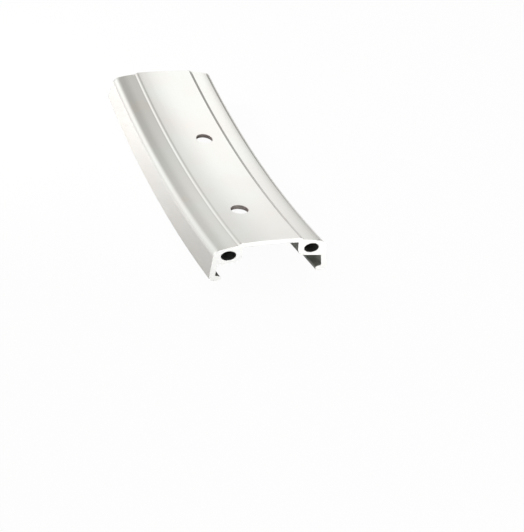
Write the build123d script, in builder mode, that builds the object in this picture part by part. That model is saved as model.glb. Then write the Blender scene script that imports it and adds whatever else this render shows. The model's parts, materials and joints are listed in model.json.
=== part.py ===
from build123d import *
import os
from math import atan2, cos, degrees, hypot, radians, sin, tan

# A sawn length of hooked single-wall aluminium bicycle rim, hub side up.
# The rim is one extrusion bent round the wheel: a thin crowned spoke bed, a hollow boss for a joint pin under
# each shoulder, and a leaning brake track on each side that ends in an inward bead hook.
# X runs along the wheel's axle, Y along the rim and +Z towards the hub. The piece rests on its two flange edges
# at Z = 0, like a rocker, with the middle of its length at Y = 0. All sizes are in millimetres.

# Wheel and cut length
rim_radius = 283.75
sample_length = 88.7
spoke_count = 48

# Spoke bed
rim_depth = 9.1
bed_width = 15.5
bed_crown = 0.2
bed_thickness = 1.1

# Step and shelf between the bed and each shoulder
step_width = 0.55
step_drop = 0.5
step_top_share = 0.55
step_foot_share = 0.3
shoulder_width = 28.4
shelf_fall = 1.07
shelf_crown = 0.12
shoulder_round = 2.0

# Brake track flange and its bead hook
track_lean = 7.0
flange_thickness = 1.45
flange_round = 1.0
hook_reach = 1.4
hook_thickness = 0.9
hook_slope = 13.0
hook_round = 0.35

# Hollow pin boss under each shoulder, whose underside seats the tyre bead
boss_gap = 14.1
boss_round = 1.6
bead_seat_height = 3.87
bead_seat_slope = 6.0
duct_spacing = 21.0
duct_width = 3.82
duct_depth = 2.34
duct_end_round = 0.85

# Spoke holes, set alternately to one side and the other of the centre line
hole_diameter = 4.3
first_hole_setback = 17.6
hole_stagger = 1.6

# Angles along the rim, from the middle of the piece
sample_angle = degrees(sample_length / rim_radius)
near_angle = -sample_angle / 2
hole_pitch = 360 / spoke_count
first_hole_angle = near_angle + degrees(first_hole_setback / rim_radius)
hole_margin = degrees(hole_diameter / 2 / (rim_radius - rim_depth))
hole_count = int((sample_angle / 2 - hole_margin - first_hole_angle) // hole_pitch) + 1

# Heights above the flange edge and half widths of the section's corners
bed_edge_height = rim_depth - bed_crown
step_foot_height = bed_edge_height - step_drop
shoulder_height = step_foot_height - shelf_fall
track_slope = tan(radians(track_lean))
flange_foot = shoulder_width / 2 + shoulder_height * track_slope
hook_root_height = hook_thickness + hook_reach * tan(radians(hook_slope))


def track_inside(height):
    return flange_foot - flange_thickness - height * track_slope


hook_root = track_inside(hook_root_height)
hook_tip = hook_root - hook_reach
bead_seat_outer = track_inside(bead_seat_height)
boss_wall = boss_gap / 2
boss_foot_height = bead_seat_height + (bead_seat_outer - boss_wall) * tan(radians(bead_seat_slope))
boss_root_height = bed_edge_height - bed_thickness
step_foot = bed_width / 2 + step_width
shelf_width = shoulder_width / 2 - step_foot
shelf_length = hypot(shelf_width, shelf_fall)

# A pin duct lies midway between the shelf above it and the bead seat below
duct_across = duct_spacing / 2
shelf_over_duct = step_foot_height - shelf_fall * (duct_across - step_foot) / shelf_width
seat_under_duct = bead_seat_height + (bead_seat_outer - duct_across) * tan(radians(bead_seat_slope))
duct_height = (shelf_over_duct + seat_under_duct) / 2

# The step is a soft S: the bends at its top and foot each take up a share of its slope
step_slope = atan2(step_drop, step_width)
step_length = hypot(step_width, step_drop)
bed_edge_slope = 2 * atan2(bed_crown, bed_width / 2)
shelf_start_slope = atan2(shelf_fall, shelf_width) - 2 * atan2(shelf_crown, shelf_length / 2)
step_top_round = step_top_share * step_length / tan((step_slope - bed_edge_slope) / 2)
step_foot_round = step_foot_share * step_length / tan((step_slope - shelf_start_slope) / 2)


def across_rim(angle, height):
    """Plane square to the rim's length at an angle from the middle, its origin above the flange edge."""
    turn = radians(angle)
    reach = rim_radius - height
    return Plane(
        origin=(0, reach * sin(turn), rim_radius - reach * cos(turn)),
        x_dir=(1, 0, 0),
        z_dir=(0, -cos(turn), -sin(turn)),
    )


def on_bed(angle):
    """Plane lying on the crown of the spoke bed, facing the hub."""
    turn = radians(angle)
    reach = rim_radius - rim_depth
    return Plane(
        origin=(0, reach * sin(turn), rim_radius - reach * cos(turn)),
        x_dir=(1, 0, 0),
        z_dir=(0, -sin(turn), cos(turn)),
    )


# An inside corner stays as sharp as the die leaves it
sharp = 0

# Corners of one side, from the bed's edge round the flange and back to the root of the boss, with their rounding
side_corners = [
    ((bed_width / 2, bed_edge_height), step_top_round),
    ((step_foot, step_foot_height), step_foot_round),
    ((shoulder_width / 2, shoulder_height), shoulder_round),
    ((flange_foot, 0), flange_round),
    ((hook_tip, 0), hook_round),
    ((hook_tip, hook_thickness), hook_round),
    ((hook_root, hook_root_height), sharp),
    ((bead_seat_outer, bead_seat_height), sharp),
    ((boss_wall, boss_foot_height), boss_round),
    ((boss_wall, boss_root_height), sharp),
]

# Opening of one pin duct: a four-arc oval, flat arcs above and below that run into tighter ends
end_centre = duct_width / 2 - duct_end_round
flat_round = (end_centre**2 + (duct_depth / 2) ** 2 - duct_end_round**2) / (duct_depth - 2 * duct_end_round)
end_share = duct_end_round / (flat_round - duct_end_round)
blend_across = end_centre * (1 + end_share)
blend_height = (flat_round - duct_depth / 2) * end_share
with BuildSketch() as duct:
    with BuildLine():
        for hand in (-1, 1):
            ThreePointArc(
                (-blend_across, hand * blend_height),
                (0, hand * duct_depth / 2),
                (blend_across, hand * blend_height),
            )
            ThreePointArc(
                (hand * blend_across, -blend_height),
                (hand * duct_width / 2, 0),
                (hand * blend_across, blend_height),
            )
    make_face()

# The rim: its section at the near saw cut, bent round the axle, then drilled for the spokes
axle = Axis((0, 0, rim_radius), (1, 0, 0))
with BuildPart() as rim:
    with BuildSketch(across_rim(near_angle, 0)) as section:
        with BuildLine():
            ThreePointArc(
                (-bed_width / 2, bed_edge_height),
                (0, rim_depth),
                (bed_width / 2, bed_edge_height),
            )
            corners = [point for point, rounding in side_corners]
            step = Line(corners[0], corners[1])
            shelf = SagittaArc(corners[1], corners[2], shelf_crown)
            flange_and_boss = Polyline(corners[2:])
            mirror([step, shelf, flange_and_boss], about=Plane.YZ)
            ThreePointArc(
                (-boss_wall, boss_root_height),
                (0, rim_depth - bed_thickness),
                (boss_wall, boss_root_height),
            )
        make_face()
        for (across, height), rounding in side_corners:
            if rounding == sharp:
                continue
            for hand in (-1, 1):
                corner = section.vertices().sort_by_distance((hand * across, height))[0]
                fillet(corner, radius=rounding)
        with Locations((-duct_across, duct_height), (duct_across, duct_height)):
            add(duct.sketch, mode=Mode.SUBTRACT)
    revolve(axis=axle, revolution_arc=sample_angle)

    for number in range(hole_count):
        hand = 1 if number % 2 else -1
        bed_spot = on_bed(first_hole_angle + number * hole_pitch)
        with Locations(bed_spot * Location((hand * hole_stagger, 0, 0))):
            Hole(radius=hole_diameter / 2)

os.makedirs("parts", exist_ok=True)
rim.part.label = "rim"
export_step(rim.part, "parts/rim.step")
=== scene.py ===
import json
from math import atan2, cos, pi, radians, sin, tan

import bpy
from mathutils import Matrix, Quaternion, Vector


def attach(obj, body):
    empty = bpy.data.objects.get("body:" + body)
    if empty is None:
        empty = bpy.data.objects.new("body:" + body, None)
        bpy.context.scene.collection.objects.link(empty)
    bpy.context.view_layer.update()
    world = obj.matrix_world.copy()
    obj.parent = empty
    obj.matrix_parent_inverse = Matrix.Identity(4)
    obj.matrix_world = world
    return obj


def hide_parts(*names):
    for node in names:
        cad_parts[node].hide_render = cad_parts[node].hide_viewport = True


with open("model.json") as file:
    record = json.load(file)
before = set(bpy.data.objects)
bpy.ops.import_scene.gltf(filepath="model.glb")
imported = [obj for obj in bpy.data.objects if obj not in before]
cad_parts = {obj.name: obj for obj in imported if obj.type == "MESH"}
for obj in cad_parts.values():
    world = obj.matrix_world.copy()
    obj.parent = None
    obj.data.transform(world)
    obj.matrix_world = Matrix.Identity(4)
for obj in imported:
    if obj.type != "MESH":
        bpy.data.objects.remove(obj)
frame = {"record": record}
bpy.context.view_layer.update()

# The rim is one length of aluminium extrusion, bent round the wheel, lying hub side up.
# Its section is drawn at the near saw cut, spun about the axle, closed at both cuts and drilled.
# A file has taken the sharpness off the sawn and drilled edges.
mounts = {mount["name"]: mount for mount in frame["record"]["mounts"]}
near_cut = mounts["near_saw_cut"]
spoke_holes = [mounts["spoke_hole_near"], mounts["spoke_hole_far"]]
pin_ducts = [mounts["pin_duct_left"], mounts["pin_duct_right"]]
cut_face = Vector(near_cut["axis"])
half_angle = atan2(cut_face.z, -cut_face.y)
rim_radius = near_cut["pos_m"][2] - near_cut["pos_m"][1] / tan(half_angle)
axle = Vector((0, 0, rim_radius))

# Sizes of the section in metres, across the rim and above the flange edge
rim_depth = 0.0091
bed_half_width = 0.00775
bed_crown = 0.0002
bed_thickness = spoke_holes[0]["dims"]["length_mm"] / 1000
step_width = 0.00055
step_drop = 0.0005
shelf_fall = 0.00107
shelf_crown = 0.00012
shoulder = 0.0142
track_slope = tan(radians(7))
flange_thickness = 0.00145
hook_reach = 0.0014
hook_height = 0.0009
hook_slope = tan(radians(13))
bead_seat_height = mounts["bead_seat"]["pos_m"][2]
bead_seat_slope = tan(radians(6))
boss_wall = 0.00705
duct_half_width = 0.00191
duct_half_depth = 0.00117
edge_break = 0.0001

# Radii of its corners
bed_edge_round = 0.00114
step_foot_round = 0.00067
shoulder_round = 0.002
flange_round = 0.001
hook_round = 0.00035
inside_round = 0.00015
boss_round = 0.0016
boss_root_round = 0.0002

# Places of its corners
bed_edge_height = rim_depth - bed_crown
step_foot = bed_half_width + step_width
step_foot_height = bed_edge_height - step_drop
shoulder_height = step_foot_height - shelf_fall
flange_foot = shoulder + shoulder_height * track_slope
flange_inside = flange_foot - flange_thickness
hook_root_height = hook_height + hook_reach * hook_slope
hook_root = flange_inside - hook_root_height * track_slope
hook_tip = hook_root - hook_reach
bead_seat_outer = flange_inside - bead_seat_height * track_slope
boss_foot_height = bead_seat_height + (bead_seat_outer - boss_wall) * bead_seat_slope
boss_root_height = bed_edge_height - bed_thickness

# Half the outline: across the rim, above the flange edge, and the radius of the corner there.
# A crowned stretch is a parabola in short spans. The shoulder's rounding takes up the shelf's last two.
crown_spans = 8
crowned_shelf = [
    (
        step_foot + (shoulder - step_foot) * share,
        step_foot_height - shelf_fall * share + 4 * shelf_crown * share * (1 - share),
        0,
    )
    for share in [number / crown_spans for number in range(1, crown_spans - 1)]
]
side = [
    (bed_half_width, bed_edge_height, bed_edge_round),
    (step_foot, step_foot_height, step_foot_round),
    *crowned_shelf,
    (shoulder, shoulder_height, shoulder_round),
    (flange_foot, 0, flange_round),
    (hook_tip, 0, hook_round),
    (hook_tip, hook_height, hook_round),
    (hook_root, hook_root_height, inside_round),
    (bead_seat_outer, bead_seat_height, inside_round),
    (boss_wall, boss_foot_height, boss_round),
    (boss_wall, boss_root_height, boss_root_round),
]
other_side = [(-across, height, rounding) for across, height, rounding in reversed(side)]
crown_shares = [number / crown_spans for number in range(crown_spans - 1, -crown_spans, -1)]
crowned_top = [
    (-bed_half_width * share, bed_edge_height + bed_crown * (1 - share**2), 0) for share in crown_shares
]
crowned_underside = [
    (boss_wall * share, boss_root_height + bed_crown * (1 - share**2), 0) for share in crown_shares
]
outline = side + crowned_underside + other_side + crowned_top


def on_rim(across, height, angle):
    """The place across the rim, above its flange edge and at an angle along it from the middle."""
    reach = rim_radius - height
    return Vector((across, reach * sin(angle), rim_radius - reach * cos(angle)))


def along_rim(place):
    """The angle along the rim of a place on it."""
    return atan2(place.y, rim_radius - place.z)


def select_points(piece, wanted):
    """Leave the piece in edit mode with only those points selected whose place passes the test."""
    bpy.ops.object.mode_set(mode="EDIT")
    bpy.ops.mesh.select_mode(type="VERT")
    bpy.ops.mesh.select_all(action="DESELECT")
    bpy.ops.object.mode_set(mode="OBJECT")
    for vertex in piece.data.vertices:
        vertex.select = wanted(vertex.co)
    bpy.ops.object.mode_set(mode="EDIT")


bpy.ops.object.select_all(action="DESELECT")
bpy.ops.mesh.primitive_circle_add(vertices=len(outline), fill_type="NGON")
rim = bpy.context.object
rim.name = "rim_length"
for vertex, (across, height, rounding) in zip(rim.data.vertices, outline):
    vertex.co = on_rim(across, height, -half_angle)

# Each corner is rounded from the points where its arc runs into the two sides
corner_segments = 8
same_place = 1e-6
for number, (across, height, rounding) in enumerate(outline):
    if not rounding:
        continue
    corner = on_rim(across, height, -half_angle)
    to_last = on_rim(*outline[number - 1][:2], -half_angle) - corner
    to_next = on_rim(*outline[(number + 1) % len(outline)][:2], -half_angle) - corner
    select_points(rim, lambda place: (place - corner).length < same_place)
    bpy.ops.mesh.bevel(
        offset=rounding / tan(to_last.angle(to_next) / 2),
        segments=corner_segments,
        affect="VERTICES",
        clamp_overlap=False,
    )
bpy.ops.mesh.select_all(action="SELECT")
bpy.ops.mesh.delete(type="ONLY_FACE")

# The two pin ducts join the outline as ovals
duct_points = 40
for duct in pin_ducts:
    middle = Vector(duct["pos_m"])
    duct_height = rim_radius - (middle - axle).yz.length
    bpy.ops.mesh.primitive_circle_add(vertices=duct_points)
    bpy.ops.object.mode_set(mode="OBJECT")
    ring = [vertex for vertex in rim.data.vertices if vertex.select]
    for number, vertex in enumerate(ring):
        turn = 2 * pi * number / duct_points
        across = middle.x + duct_half_width * cos(turn)
        height = duct_height + duct_half_depth * sin(turn)
        vertex.co = on_rim(across, height, -half_angle)
    bpy.ops.object.mode_set(mode="EDIT")

# The section is spun to the far cut, and each end is closed round the ducts
spin_steps = 96
same_angle = 1e-5
flat_angle = radians(1)
merge_gap = 1e-7
bpy.ops.mesh.select_all(action="SELECT")
bpy.ops.mesh.spin(steps=spin_steps, angle=2 * half_angle, center=axle, axis=(-1, 0, 0))
for end in (-half_angle, half_angle):
    select_points(rim, lambda place: abs(along_rim(place) - end) < same_angle)
    bpy.ops.mesh.fill(use_beauty=True)
    bpy.ops.mesh.dissolve_limited(angle_limit=flat_angle)
bpy.ops.mesh.select_all(action="SELECT")
bpy.ops.mesh.remove_doubles(threshold=merge_gap)
bpy.ops.mesh.normals_make_consistent(inside=False)
bpy.ops.object.mode_set(mode="OBJECT")

# The spoke holes are drilled square to the bed. The drill flares at both faces and so breaks their edges.
drill_points = 72
flare = 0.001
for hole in spoke_holes:
    radius = hole["dims"]["r_mm"] / 1000
    drill_axis = Vector(hole["axis"])
    bpy.ops.mesh.primitive_cylinder_add(
        vertices=drill_points,
        radius=radius,
        depth=bed_thickness - 2 * edge_break,
        location=hole["pos_m"],
        rotation=drill_axis.to_track_quat("Z", "Y").to_euler(),
    )
    drill = bpy.context.object
    for end in (-1, 1):
        select_points(drill, lambda place: place.z * end > 0)
        bpy.ops.mesh.extrude_region()
        bpy.ops.object.mode_set(mode="OBJECT")
        for vertex in drill.data.vertices:
            if vertex.select:
                vertex.co.xy *= 1 + flare / radius
                vertex.co.z += end * flare
    bpy.ops.object.select_all(action="DESELECT")
    bpy.context.view_layer.objects.active = rim
    rim.select_set(True)
    drilled = rim.modifiers.new(hole["name"], "BOOLEAN")
    drilled.operation = "DIFFERENCE"
    drilled.solver = "EXACT"
    drilled.object = drill
    bpy.ops.object.modifier_apply(modifier=hole["name"])
    bpy.data.objects.remove(drill)

# The sawn edges are broken, and the curved walls shade smoothly
sharp_angle = radians(50)
smooth_angle = radians(35)
bpy.ops.object.mode_set(mode="EDIT")
bpy.ops.mesh.select_mode(type="EDGE")
bpy.ops.mesh.select_all(action="DESELECT")
bpy.ops.mesh.edges_select_sharp(sharpness=sharp_angle)
bpy.ops.mesh.bevel(offset=edge_break, segments=2, affect="EDGES", clamp_overlap=True)
bpy.ops.object.mode_set(mode="OBJECT")
bpy.ops.object.shade_smooth_by_angle(angle=smooth_angle)
rim.modifiers.new("flat_faces_stay_flat", "WEIGHTED_NORMAL").keep_sharp = True
bpy.ops.object.modifier_apply(modifier="flat_faces_stay_flat")

# The extruded skin has fine lines drawn along it by the die, under a satin anodised finish. It is rougher
# in the tyre channel, the pin ducts and on the faces turned down inside the flanges, and darker there in
# colour, which is painted shade. The brake tracks are turned to a finer grain and a rougher finish, the
# sawn ends are bare metal with straight saw marks, and the drilled walls are rough, with a darker colour
# that is painted shade.


def add_node(tree, kind, **settings):
    """A node of that kind in the tree, with its own settings."""
    node = tree.nodes.new(kind)
    for name, value in settings.items():
        setattr(node, name, value)
    return node


# Where a point lies on the bent bar: across it, along it and above the flange edge, in metres
bent_place = bpy.data.node_groups.new("bent_place", "ShaderNodeTree")
bent_place.interface.new_socket("Place", in_out="OUTPUT", socket_type="NodeSocketVector")
place_out = add_node(bent_place, "NodeGroupOutput")
coordinate = add_node(bent_place, "ShaderNodeTexCoord")
split = add_node(bent_place, "ShaderNodeSeparateXYZ")
below_axle = add_node(bent_place, "ShaderNodeMath", operation="SUBTRACT")
below_axle.inputs[0].default_value = rim_radius
angle = add_node(bent_place, "ShaderNodeMath", operation="ARCTAN2")
along = add_node(bent_place, "ShaderNodeMath", operation="MULTIPLY")
along.inputs[1].default_value = rim_radius
radial = add_node(bent_place, "ShaderNodeCombineXYZ")
reach = add_node(bent_place, "ShaderNodeVectorMath", operation="LENGTH")
height = add_node(bent_place, "ShaderNodeMath", operation="SUBTRACT")
height.inputs[0].default_value = rim_radius
joined = add_node(bent_place, "ShaderNodeCombineXYZ")
wire = bent_place.links.new
wire(coordinate.outputs["Object"], split.inputs[0])
wire(split.outputs["Z"], below_axle.inputs[1])
wire(split.outputs["Y"], angle.inputs[0])
wire(below_axle.outputs[0], angle.inputs[1])
wire(angle.outputs[0], along.inputs[0])
wire(split.outputs["Y"], radial.inputs["Y"])
wire(below_axle.outputs[0], radial.inputs["Z"])
wire(radial.outputs[0], reach.inputs[0])
wire(reach.outputs["Value"], height.inputs[1])
wire(split.outputs["X"], joined.inputs["X"])
wire(along.outputs[0], joined.inputs["Y"])
wire(height.outputs[0], joined.inputs["Z"])
wire(joined.outputs[0], place_out.inputs["Place"])

# Marks of a tool or a die: noise with so many grains to the metre across, along and above
worked_marks = bpy.data.node_groups.new("worked_marks", "ShaderNodeTree")
worked_marks.interface.new_socket("Grains", in_out="INPUT", socket_type="NodeSocketVector")
worked_marks.interface.new_socket("Marks", in_out="OUTPUT", socket_type="NodeSocketFloat")
worked_marks.interface.new_socket("Smudges", in_out="OUTPUT", socket_type="NodeSocketFloat")
marks_in = add_node(worked_marks, "NodeGroupInput")
marks_out = add_node(worked_marks, "NodeGroupOutput")
place = add_node(worked_marks, "ShaderNodeGroup", node_tree=bent_place)
stretched = add_node(worked_marks, "ShaderNodeVectorMath", operation="MULTIPLY")
grain = add_node(worked_marks, "ShaderNodeTexNoise")
grain.inputs["Scale"].default_value = 1
grain.inputs["Detail"].default_value = 3
grain.inputs["Roughness"].default_value = 0.65
smudge = add_node(worked_marks, "ShaderNodeTexNoise")
smudge.inputs["Scale"].default_value = 90
smudge.inputs["Detail"].default_value = 4
wire = worked_marks.links.new
wire(place.outputs["Place"], stretched.inputs[0])
wire(marks_in.outputs["Grains"], stretched.inputs[1])
wire(stretched.outputs[0], grain.inputs["Vector"])
wire(place.outputs["Place"], smudge.inputs["Vector"])
wire(grain.outputs["Fac"], marks_out.inputs["Marks"])
wire(smudge.outputs["Fac"], marks_out.inputs["Smudges"])


def aluminium(name, bright, dull, smooth, rough, grains, depth):
    """Aluminium between two colours and two roughnesses, with marks of a depth in metres."""
    material = bpy.data.materials.new(name)
    material.use_nodes = True
    tree = material.node_tree
    metal = tree.nodes["Principled BSDF"]
    metal.inputs["Metallic"].default_value = 1
    marks = add_node(tree, "ShaderNodeGroup", node_tree=worked_marks)
    marks.inputs["Grains"].default_value = grains
    tone = add_node(tree, "ShaderNodeMix", data_type="RGBA")
    tone.inputs["A"].default_value = bright
    tone.inputs["B"].default_value = dull
    polish = add_node(tree, "ShaderNodeMapRange")
    polish.inputs["To Min"].default_value = smooth
    polish.inputs["To Max"].default_value = rough
    relief = add_node(tree, "ShaderNodeBump")
    relief.inputs["Distance"].default_value = depth
    tree.links.new(marks.outputs["Smudges"], tone.inputs["Factor"])
    tree.links.new(marks.outputs["Marks"], polish.inputs["Value"])
    tree.links.new(marks.outputs["Marks"], relief.inputs["Height"])
    tree.links.new(tone.outputs["Result"], metal.inputs["Base Color"])
    tree.links.new(polish.outputs["Result"], metal.inputs["Roughness"])
    tree.links.new(relief.outputs["Normal"], metal.inputs["Normal"])
    return material


satin_skin = aluminium(
    "satin_skin",
    bright=(0.87, 0.905, 0.885, 1),
    dull=(0.88, 0.82, 0.77, 1),
    smooth=0.10,
    rough=0.20,
    grains=(3000, 8, 3000),
    depth=6e-6,
)
turned_track = aluminium(
    "turned_track",
    bright=(0.89, 0.885, 0.87, 1),
    dull=(0.84, 0.80, 0.765, 1),
    smooth=0.15,
    rough=0.30,
    grains=(4000, 6, 4000),
    depth=6e-6,
)
sawn_metal = aluminium(
    "sawn_metal",
    bright=(0.97, 0.97, 0.96, 1),
    dull=(0.94, 0.94, 0.93, 1),
    smooth=0.45,
    rough=0.60,
    grains=(150, 0, 4500),
    depth=2e-5,
)
# The drilled walls are rough, and their dark colour is painted shade in the holes
drilled_wall_painted_shade = aluminium(
    "drilled_wall_painted_shade",
    bright=(0.68, 0.62, 0.60, 1),
    dull=(0.57, 0.51, 0.49, 1),
    smooth=0.55,
    rough=0.70,
    grains=(400, 400, 4000),
    depth=1e-5,
)
# Inside the channel the colour is darker than the skin's: painted shade, over a rougher finish
channel_skin_painted_shade = aluminium(
    "channel_skin_painted_shade",
    bright=(0.72, 0.735, 0.705, 1),
    dull=(0.66, 0.67, 0.64, 1),
    smooth=0.30,
    rough=0.45,
    grains=(3000, 8, 3000),
    depth=6e-6,
)

# A face is square to a direction where its normal goes this far along it
square_on = 0.9
cut_margin = 1.5 * edge_break
wall_margin = 0.0005


def in_hole(face):
    """Whether a face belongs to the wall of a spoke hole or to its broken edge."""
    for hole in spoke_holes:
        drill_axis = Vector(hole["axis"])
        aside = (face.center - Vector(hole["pos_m"])).cross(drill_axis)
        close = aside.length < hole["dims"]["r_mm"] / 1000 + edge_break
        if close and abs(face.normal.dot(drill_axis)) < square_on:
            return True
    return False


def finish_of(face):
    """The finish of a face, from its place on the rim and the way it faces."""
    above_edge = rim_radius - (face.center - axle).yz.length
    to_cut = (half_angle - abs(along_rim(face.center))) * rim_radius
    past_wall = abs(face.center.x) - flange_inside + above_edge * track_slope
    faces_down = face.normal.dot(axle - face.center) < 0
    if to_cut < cut_margin:
        return sawn_metal
    # The walls and broken edges of the spoke holes take the dark colour of painted shade
    if in_hole(face):
        return drilled_wall_painted_shade
    if past_wall > wall_margin and abs(face.normal.x) > square_on:
        return turned_track
    # The tyre channel and the faces turned down to the floor take the darker colour of painted shade
    if past_wall < wall_margin and (faces_down or above_edge < shoulder_height):
        return channel_skin_painted_shade
    return satin_skin


finishes = [satin_skin, turned_track, sawn_metal, drilled_wall_painted_shade, channel_skin_painted_shade]
for finish in finishes:
    rim.data.materials.append(finish)
for face in rim.data.polygons:
    face.material_index = finishes.index(finish_of(face))
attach(rim, "root")
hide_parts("rim")

# The floor is a wide sheet of matt white card. It stays white to the camera, with a trace of the shadow.
# Mirrored in the metal, the card keeps its full shadow close to the rim and is a little greyer farther off.
white_to_camera = 0.965
white_in_metal = 0.93
paleness_in_metal = 0.8
shadow_near = 0.02
shadow_far = 0.10
bpy.ops.mesh.primitive_plane_add(size=6)
floor = bpy.context.object
floor.name = "white_card"
card = bpy.data.materials.new("white_card")
card.use_nodes = True
card_nodes = card.node_tree
paper = card_nodes.nodes["Principled BSDF"]
paper.inputs["Base Color"].default_value = (0.92, 0.92, 0.915, 1)
paper.inputs["Roughness"].default_value = 0.9
paper.inputs["Specular IOR Level"].default_value = 0.1
white = add_node(card_nodes, "ShaderNodeEmission")
ray = add_node(card_nodes, "ShaderNodeLightPath")
to_camera = add_node(card_nodes, "ShaderNodeMath", operation="MULTIPLY")
to_camera.inputs[1].default_value = white_to_camera
mirrored = add_node(card_nodes, "ShaderNodeMath", operation="ADD")
from_afar = add_node(card_nodes, "ShaderNodeMapRange", interpolation_type="SMOOTHSTEP")
from_afar.inputs["From Min"].default_value = shadow_near
from_afar.inputs["From Max"].default_value = shadow_far
from_afar.inputs["To Max"].default_value = white_in_metal
paleness = add_node(card_nodes, "ShaderNodeMapRange")
paleness.inputs["To Min"].default_value = 1
paleness.inputs["To Max"].default_value = paleness_in_metal
to_mirror = add_node(card_nodes, "ShaderNodeMath", operation="MULTIPLY")
lightened = add_node(card_nodes, "ShaderNodeMath", operation="ADD")
blend = add_node(card_nodes, "ShaderNodeMixShader")
wire = card_nodes.links.new
wire(ray.outputs["Is Camera Ray"], to_camera.inputs[0])
wire(ray.outputs["Is Glossy Ray"], mirrored.inputs[0])
wire(ray.outputs["Is Transmission Ray"], mirrored.inputs[1])
wire(ray.outputs["Ray Length"], from_afar.inputs["Value"])
wire(mirrored.outputs[0], paleness.inputs["Value"])
wire(paleness.outputs["Result"], white.inputs["Strength"])
wire(mirrored.outputs[0], to_mirror.inputs[0])
wire(from_afar.outputs["Result"], to_mirror.inputs[1])
wire(to_camera.outputs[0], lightened.inputs[0])
wire(to_mirror.outputs[0], lightened.inputs[1])
wire(lightened.outputs[0], blend.inputs["Fac"])
wire(paper.outputs[0], blend.inputs[1])
wire(white.outputs[0], blend.inputs[2])
wire(blend.outputs[0], card_nodes.nodes["Material Output"].inputs["Surface"])
floor.data.materials.append(card)

# The studio is a pale room, duller overhead, with a bright wall on the left. A tall white panel behind on
# the right grows brighter upwards and has a glow along its edge, and the room beyond it is darker.
# The room's dull parts are a little warm, and its bright parts are neutral.
world = bpy.data.worlds.new("pale_room")
world.use_nodes = True
room = world.node_tree
toward_room = add_node(room, "ShaderNodeTexCoord")
direction = add_node(room, "ShaderNodeSeparateXYZ")
room.links.new(toward_room.outputs["Generated"], direction.inputs[0])
right = direction.outputs["X"]
back = direction.outputs["Y"]
up = direction.outputs["Z"]


def fade(value, start, stop, first, last, curve="SMOOTHSTEP"):
    """Goes from first to last as the value goes from start to stop."""
    node = add_node(room, "ShaderNodeMapRange", interpolation_type=curve)
    node.inputs["From Min"].default_value = start
    node.inputs["From Max"].default_value = stop
    node.inputs["To Min"].default_value = first
    node.inputs["To Max"].default_value = last
    room.links.new(value, node.inputs["Value"])
    return node.outputs["Result"]


def combine(operation, first, second):
    """The sum or the product of two values."""
    node = add_node(room, "ShaderNodeMath", operation=operation)
    room.links.new(first, node.inputs[0])
    room.links.new(second, node.inputs[1])
    return node.outputs["Value"]


leaning = combine("ADD", right, fade(up, start=0, stop=1, first=0, last=0.28, curve="LINEAR"))
walls = combine(
    "MULTIPLY",
    fade(up, start=0.45, stop=0.75, first=0.54, last=0.32),
    fade(right, start=0.52, stop=0.60, first=1, last=0.66),
)
left_wall = combine(
    "MULTIPLY",
    fade(right, start=0.41, stop=-1.29, first=0, last=1.03),
    fade(up, start=0, stop=0.41, first=0.60, last=1),
)
panel_face = combine(
    "MULTIPLY",
    fade(leaning, start=0.39, stop=0.485, first=0, last=1),
    fade(up, start=0.05, stop=0.70, first=0, last=0.575, curve="LINEAR"),
)
glow = combine(
    "MULTIPLY",
    fade(leaning, start=0.24, stop=0.305, first=0, last=0.215),
    fade(up, start=0.02, stop=0.22, first=0.58, last=1),
)
panel = combine(
    "MULTIPLY",
    combine("ADD", panel_face, glow),
    fade(right, start=0.525, stop=0.552, first=1, last=0),
)
lit_sides = combine("ADD", combine("ADD", walls, left_wall), panel)
strength = combine("MULTIPLY", lit_sides, fade(back, start=-0.1, stop=0.4, first=0.5, last=1))
tint = add_node(room, "ShaderNodeMix", data_type="RGBA")
tint.inputs["A"].default_value = (1, 0.995, 0.96, 1)
tint.inputs["B"].default_value = (0.99, 1, 1, 1)
brightness = fade(strength, start=0.45, stop=0.95, first=0, last=1)
room.links.new(brightness, tint.inputs["Factor"])
room.links.new(tint.outputs["Result"], room.nodes["Background"].inputs["Color"])
room.links.new(strength, room.nodes["Background"].inputs["Strength"])
bpy.context.scene.world = world

# Two square lamps fill in what the room leaves dull. The far lamp stands on the left and brightens the card
# beside the far half of the rim, which the brake track mirrors. The front lamp stands on the right and
# brightens the near saw cut.


def lamp(name, place, aim, size, spread, radiance):
    """A square lamp at a place, turned towards its aim, whose beam spreads over an angle."""
    away = Vector(place) - Vector(aim)
    bpy.ops.object.light_add(type="AREA", location=place, rotation=away.to_track_quat("Z", "Y").to_euler())
    square = bpy.context.object
    square.name = name
    square.data.size = size
    square.data.spread = spread
    square.data.energy = radiance * pi * size**2


lamp(
    "far_lamp",
    place=(-0.12, 0.04, 0.10),
    aim=(-0.022, 0.075, 0),
    size=0.03,
    spread=radians(90),
    radiance=18,
)
lamp(
    "front_lamp",
    place=(0.12, -0.32, 0.04),
    aim=(0, -0.044, 0.006),
    size=0.1,
    spread=radians(180),
    radiance=10.3,
)

# The camera stands about 0.3 m off, in front on the left, and looks down along the rim through a long lens.
# It is rolled a little, as the photo is.
azimuth = radians(-25.95)
elevation = radians(34.14)
roll = radians(9.37)
distance = 0.31196
aim = Vector((-0.00316, -0.04646, 0.008))
toward_camera = Vector((sin(azimuth) * cos(elevation), -cos(azimuth) * cos(elevation), sin(elevation)))
bpy.ops.object.camera_add(location=aim + toward_camera * distance)
camera = bpy.context.object
camera.rotation_mode = "QUATERNION"
camera.rotation_quaternion = (-toward_camera).to_track_quat("-Z", "Y") @ Quaternion((0, 0, 1), roll)
camera.data.lens = 90.97
camera.data.sensor_width = 36
camera.data.clip_start = 0.01
bpy.context.scene.camera = camera
bpy.context.scene.view_settings.view_transform = "Standard"
